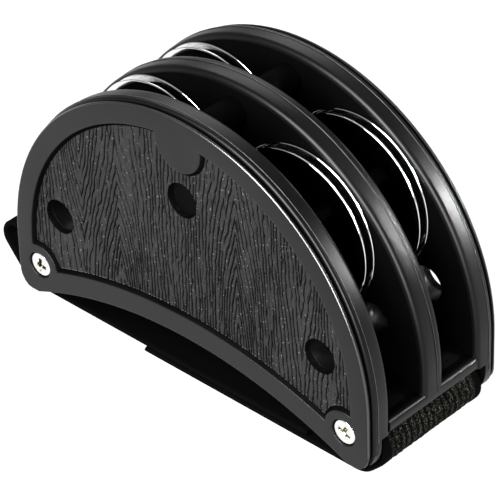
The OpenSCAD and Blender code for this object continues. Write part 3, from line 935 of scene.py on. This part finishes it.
def drive_screws():
    """Four cross-recess screws in the bezels' corners."""
    for corner, turn in CROSS_TURNS.items():
        node = "screw_" + corner
        low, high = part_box(node)
        at_front = corner.startswith("front")
        seat = low.y + HEAD_H if at_front else high.y - HEAD_H
        blank = lathe("blank_" + node, screw_outline(high.y - low.y - HEAD_H), SCREW_TURNS)
        mesh = cut_away(blank, [cross_wing(f"wing_{node}_{bar}", turn + bar) for bar in (0, 90)])
        mark_recess(mesh)
        smooth_faces(mesh, sharp_angle=30)
        mesh.materials.clear()
        mesh.name = "cross_" + node
        facing = Matrix.Rotation(0 if at_front else math.pi, 4, "Z")
        place = Matrix.Translation((middle_of(node).x, seat, middle_of(node).z)) @ facing
        piece = new_piece(mesh.name, mesh, screw_finish, "housing", place)
        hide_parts(node)


drive_screws()


# Strap

# Sizes of the webbing, in millimetres
STRAP_T = 1.5
STRAP_HALF_W = (strap_high.y - strap_low.y) / 2 / MM
# Rounds that the strap bends about, from its inner to its outer end: x, z and signed radius in millimetres,
# below zero where it turns clockwise, seen from the front
STRAP_ROUNDS = ((40, 2.95, 0), (-71.2, 5.95, -3), (-77.45, 16.1, -4.7), (-68, 18.9, 2.5), (-60, 17.8, -4.2),
                (60, 17.8, -4.2), (62.95, 10.5, -6), (58.372, 8.75, -8), (-24, 0.75, 0))
STRAP_STEP = 0.45
# The loop pile starts on the run in the channel, above UPPER_RUN_Z, and fades in over its first millimetres
UPPER_RUN_Z = 15
PILE_START_X = 6
PILE_FADE = 2.0
SELVAGE = 2.6
SELVAGE_FADE = 0.6
PILE_ROW = 2.3
PILE_RISE = 0.42
PILE_BASE = 0.3
FACE_POINTS = 86
BACK_POINTS = 40
EDGE_POINTS = 5
# Share of the pile's rise that its finish reads as a tip for its painted highlight, and the webbing's ribs
# outside the pile
TIP_SHARE = 0.55
RIB_RISE = 0.05
RIB_PITCH = 1.1


def run_heading(start, end):
    """Direction of the straight run from one round to the next."""
    dx, dz = end[0] - start[0], end[1] - start[1]
    return math.atan2(dz, dx) - math.asin((end[2] - start[2]) / math.hypot(dx, dz))


def strap_line():
    """Points of the strap's middle line, evenly spaced: x, z and heading."""
    ways = [run_heading(a, b) for a, b in zip(STRAP_ROUNDS, STRAP_ROUNDS[1:])]
    line = []
    for i, (x, z, r) in enumerate(STRAP_ROUNDS):
        start, end = ways[max(i - 1, 0)], ways[min(i, len(ways) - 1)]
        sweep = (end - start) % (2 * math.pi) if r > 0 else -((start - end) % (2 * math.pi))
        steps = max(1, math.ceil(abs(sweep * r) / STRAP_STEP)) if r else 0
        for k in range(steps + 1):
            a = start + (sweep * k / steps if steps else 0)
            line.append((x + r * math.sin(a), z - r * math.cos(a), a))
    line = np.array(line)
    gaps = np.hypot(np.diff(line[:, 0]), np.diff(line[:, 1]))
    along = np.concatenate([[0], np.cumsum(gaps)])
    even = np.arange(0, along[-1], STRAP_STEP)
    return even, np.stack([np.interp(even, along, line[:, k]) for k in range(3)], axis=-1)


def off_selvage(across):
    """0 on the strap's selvages and 1 between them."""
    return ease(0, SELVAGE_FADE, STRAP_HALF_W - SELVAGE - np.abs(across))


def pile_rise(along, across, pile):
    """How far the loops stand up, from 0 to 1: rows along the strap, lumpy, none on the selvages."""
    sway = 0.5 * (soft_noise(along / 9, across / 4, 21) - 0.5)
    row = np.abs(np.sin(np.pi * (across + sway) / PILE_ROW))
    lumps = soft_noise(along / 0.85, across / 0.8, 22)
    stray = soft_noise(along / 0.5, across / 0.5, 23)
    stand = (0.1 + 0.9 * row ** 0.8) * (0.35 + 0.65 * lumps) * (0.6 + 0.4 * stray)
    return pile * off_selvage(across) * stand


def strap_section():
    """One turn round the strap's section: across, inwards from its middle, and 1 on the outer face."""
    w, half = STRAP_HALF_W, STRAP_T / 2
    face = [(t, -half, 1.0) for t in np.linspace(-w + half, w - half, FACE_POINTS)]
    back = [(t, half, 0.0) for t in np.linspace(w - half, -w + half, BACK_POINTS)]
    rounds = [math.pi * i / (EDGE_POINTS + 1) for i in range(1, EDGE_POINTS + 1)]
    right = [(w - half + half * math.sin(a), -half * math.cos(a), 0.0) for a in rounds]
    left = [(-w + half - half * math.sin(a), half * math.cos(a), 0.0) for a in rounds]
    return np.array(face + right + back + left)


def strap_mesh():
    """Webbing along its whole line, with loop pile on the half that closes over the hook tape."""
    along, line = strap_line()
    section = strap_section()
    ring, rows = len(section), len(along)
    rightwards = line[:, 2] % (2 * math.pi) < 1
    piled = (line[:, 1] > UPPER_RUN_Z) & (line[:, 0] > PILE_START_X) & rightwards
    pile_start = along[np.argmax(piled)]
    pile = ease(pile_start, pile_start + PILE_FADE, along)
    s = np.repeat(along[:, None], ring, axis=1)
    t = np.repeat(section[None, :, 0], rows, axis=0)
    outer = np.repeat(section[None, :, 2], rows, axis=0)
    rise = pile_rise(s, t, pile[:, None]) * outer
    sink = outer * pile[:, None] * PILE_BASE * off_selvage(t)
    ribs = RIB_RISE * np.sin(2 * np.pi * t / RIB_PITCH) * (1 - pile[:, None]) * outer
    side = section[None, :, 1] - rise * PILE_RISE + sink + ribs
    a = line[:, 2][:, None]
    x = line[:, 0][:, None] + side * np.sin(a)
    z = line[:, 1][:, None] - side * np.cos(a)
    mesh = tube("strap_webbing", np.stack([x, t, z], axis=-1) * MM)
    mark_points(mesh, "tip", rise * TIP_SHARE)
    lay_weave(mesh, s.ravel(), t.ravel())
    tidy_normals(mesh, sharp_angle=60)
    return mesh


def lay_weave(mesh, along, across):
    """Stores each point's place on the strap, in metres, for the weave."""
    corners = np.zeros(len(mesh.loops), int)
    mesh.loops.foreach_get("vertex_index", corners)
    places = np.stack([along[corners], across[corners]], axis=-1) * MM
    mesh.uv_layers.new(name="weave").data.foreach_set("uv", places.astype(np.float32).ravel())


def sew_strap():
    """The belt, cut to its own width and length, over the posts and in the channel."""
    strap = new_piece("strap_belt", strap_mesh(), webbing_finish, "housing")
    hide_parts("strap")
    length = strap_line()[0][-1]


sew_strap()


# Hook tape

# Points along and across the tape, how far its studs stand up, and how far its edges are drawn in
HOOK_GRID = (120, 66)
HOOK_RISE = 0.06 * MM
HOOK_EDGE_INSET = 0.12 * MM


def hook_patch_mesh():
    """Thin tape with rows of low studs on both faces, where the hooks grip."""
    low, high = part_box("hook_patch")
    columns, rows = HOOK_GRID
    x = np.linspace(low.x, high.x, columns)
    y = np.linspace(low.y, high.y, rows)
    half = (high.z - low.z) / 2
    points, faces = [], []
    for face in (-1, 1):
        for i, px in enumerate(x):
            for j, py in enumerate(y):
                edge = i in (0, columns - 1) or j in (0, rows - 1)
                inset = HOOK_EDGE_INSET if edge else HOOK_RISE * (1 - (i + j) % 2)
                points.append((px, py, low.z + half + face * (half - inset)))
    layer = columns * rows
    for level in (0, 1):
        for i in range(columns - 1):
            for j in range(rows - 1):
                a = level * layer + i * rows + j
                faces.append((a, a + 1, a + rows + 1, a + rows))
    rim = [i * rows for i in range(columns)] + [(columns - 1) * rows + j for j in range(1, rows)]
    rim += [i * rows + rows - 1 for i in range(columns - 2, -1, -1)] + list(range(rows - 2, 0, -1))
    for a, b in zip(rim, rim[1:] + rim[:1]):
        faces.append((a, b, layer + b, layer + a))
    mesh = bpy.data.meshes.new("hook_tape_patch")
    mesh.from_pydata(points, [], faces)
    spots = np.array(points) / MM
    lay_weave(mesh, spots[:, 0], spots[:, 1])
    tidy_normals(mesh)
    return mesh


hook_tape_patch = new_piece("hook_tape_patch", hook_patch_mesh(), hook_finish, "housing")
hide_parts("hook_patch")


# Floor, light and camera

FLOOR_REACH = 6.0
FLOOR_DROP = 0.1 * MM


def lay_floor():
    """Plain pale floor under the strap."""
    r = FLOOR_REACH
    mesh = bpy.data.meshes.new("floor")
    mesh.from_pydata([(-r, -r, 0), (r, -r, 0), (r, r, 0), (-r, r, 0)], [], [(0, 1, 2, 3)])
    floor = bpy.data.objects.new("floor", mesh)
    floor.location.z = cad_low.z - FLOOR_DROP
    bpy.context.scene.collection.objects.link(floor)
    material, _, shader = new_material("floor_paper")
    fill(shader, Base_Color=grey(0.08), Roughness=0.9, Emission_Color=grey(1.0), Emission_Strength=0.96)
    shader.inputs[SHINE].default_value = 0.0
    mesh.materials.append(material)


BOX_MIDDLE = (0.0, 0.0, 0.06)
ROOM_LIGHT = 0.35
# Soft boxes: place, aim, width and height in metres, power in watts, and the angle of the beam in degrees
SOFT_BOXES = {
    "front_box": ((0.05, -0.62, 0.52), BOX_MIDDLE, 0.5, 0.5, 26.0, 180),
    "right_box": ((0.263, 0.211, 0.175), (0.055, 0.022, 0.069), 0.05, 0.09, 1.0, 180),
    "right_beam": ((0.263, 0.217, 0.158), (0.056, 0.036, 0.064), 0.05, 0.09, 0.04, 4),
    "edge_box": ((0.43, -0.58, 0.25), BOX_MIDDLE, 0.3, 0.44, 13.0, 180),
    "back_box": ((-0.5, 0.55, 0.6), BOX_MIDDLE, 0.5, 0.4, 2.5, 180),
}


def soft_box(name, place, aim, width, height, power, beam):
    """Area light at a place, facing a point, whose light keeps to a beam."""
    light = bpy.data.lights.new(name, "AREA")
    light.spread = math.radians(beam)
    light.shape, light.size, light.size_y, light.energy = "RECTANGLE", width, height, power
    lamp = bpy.data.objects.new(name, light)
    lamp.location = place
    lamp.rotation_mode = "QUATERNION"
    lamp.rotation_quaternion = (Vector(aim) - Vector(place)).to_track_quat("-Z", "Y")
    lamp.visible_camera = False
    bpy.context.scene.collection.objects.link(lamp)


def light_studio():
    """White room with its soft boxes."""
    world = bpy.data.worlds.new("white_room")
    world.use_nodes = True
    fill(world.node_tree.nodes["Background"], Color=grey(1.0), Strength=ROOM_LIGHT)
    bpy.context.scene.world = world
    for name, setting in SOFT_BOXES.items():
        soft_box(name, *setting)


CAMERA_AZIMUTH = math.radians(44.111)
CAMERA_ELEVATION = math.radians(35.742)
CAMERA_ROLL = math.radians(-1.928)
CAMERA_DISTANCE = 0.90975
CAMERA_AIM = Vector((0.026556, -0.0272, 0.064059))
CAMERA_LENS = 240.28


def set_camera():
    """Long lens at the front right, looking down on the box."""
    lens = bpy.data.cameras.new("camera")
    lens.sensor_width, lens.lens = 36.0, CAMERA_LENS
    lens.clip_start, lens.clip_end = 0.05, 20.0
    back = Vector((math.sin(CAMERA_AZIMUTH) * math.cos(CAMERA_ELEVATION),
                   -math.cos(CAMERA_AZIMUTH) * math.cos(CAMERA_ELEVATION), math.sin(CAMERA_ELEVATION)))
    right = (-back).cross(Vector((0, 0, 1))).normalized()
    up = right.cross(-back)
    across = right * math.cos(CAMERA_ROLL) + up * math.sin(CAMERA_ROLL)
    upright = up * math.cos(CAMERA_ROLL) - right * math.sin(CAMERA_ROLL)
    camera = bpy.data.objects.new("camera", lens)
    turn = Matrix((across, upright, back)).transposed().to_4x4()
    camera.matrix_world = Matrix.Translation(CAMERA_AIM + back * CAMERA_DISTANCE) @ turn
    bpy.context.scene.collection.objects.link(camera)
    bpy.context.scene.camera = camera


lay_floor()
light_studio()
set_camera()
bpy.context.scene.view_settings.view_transform = "Standard"
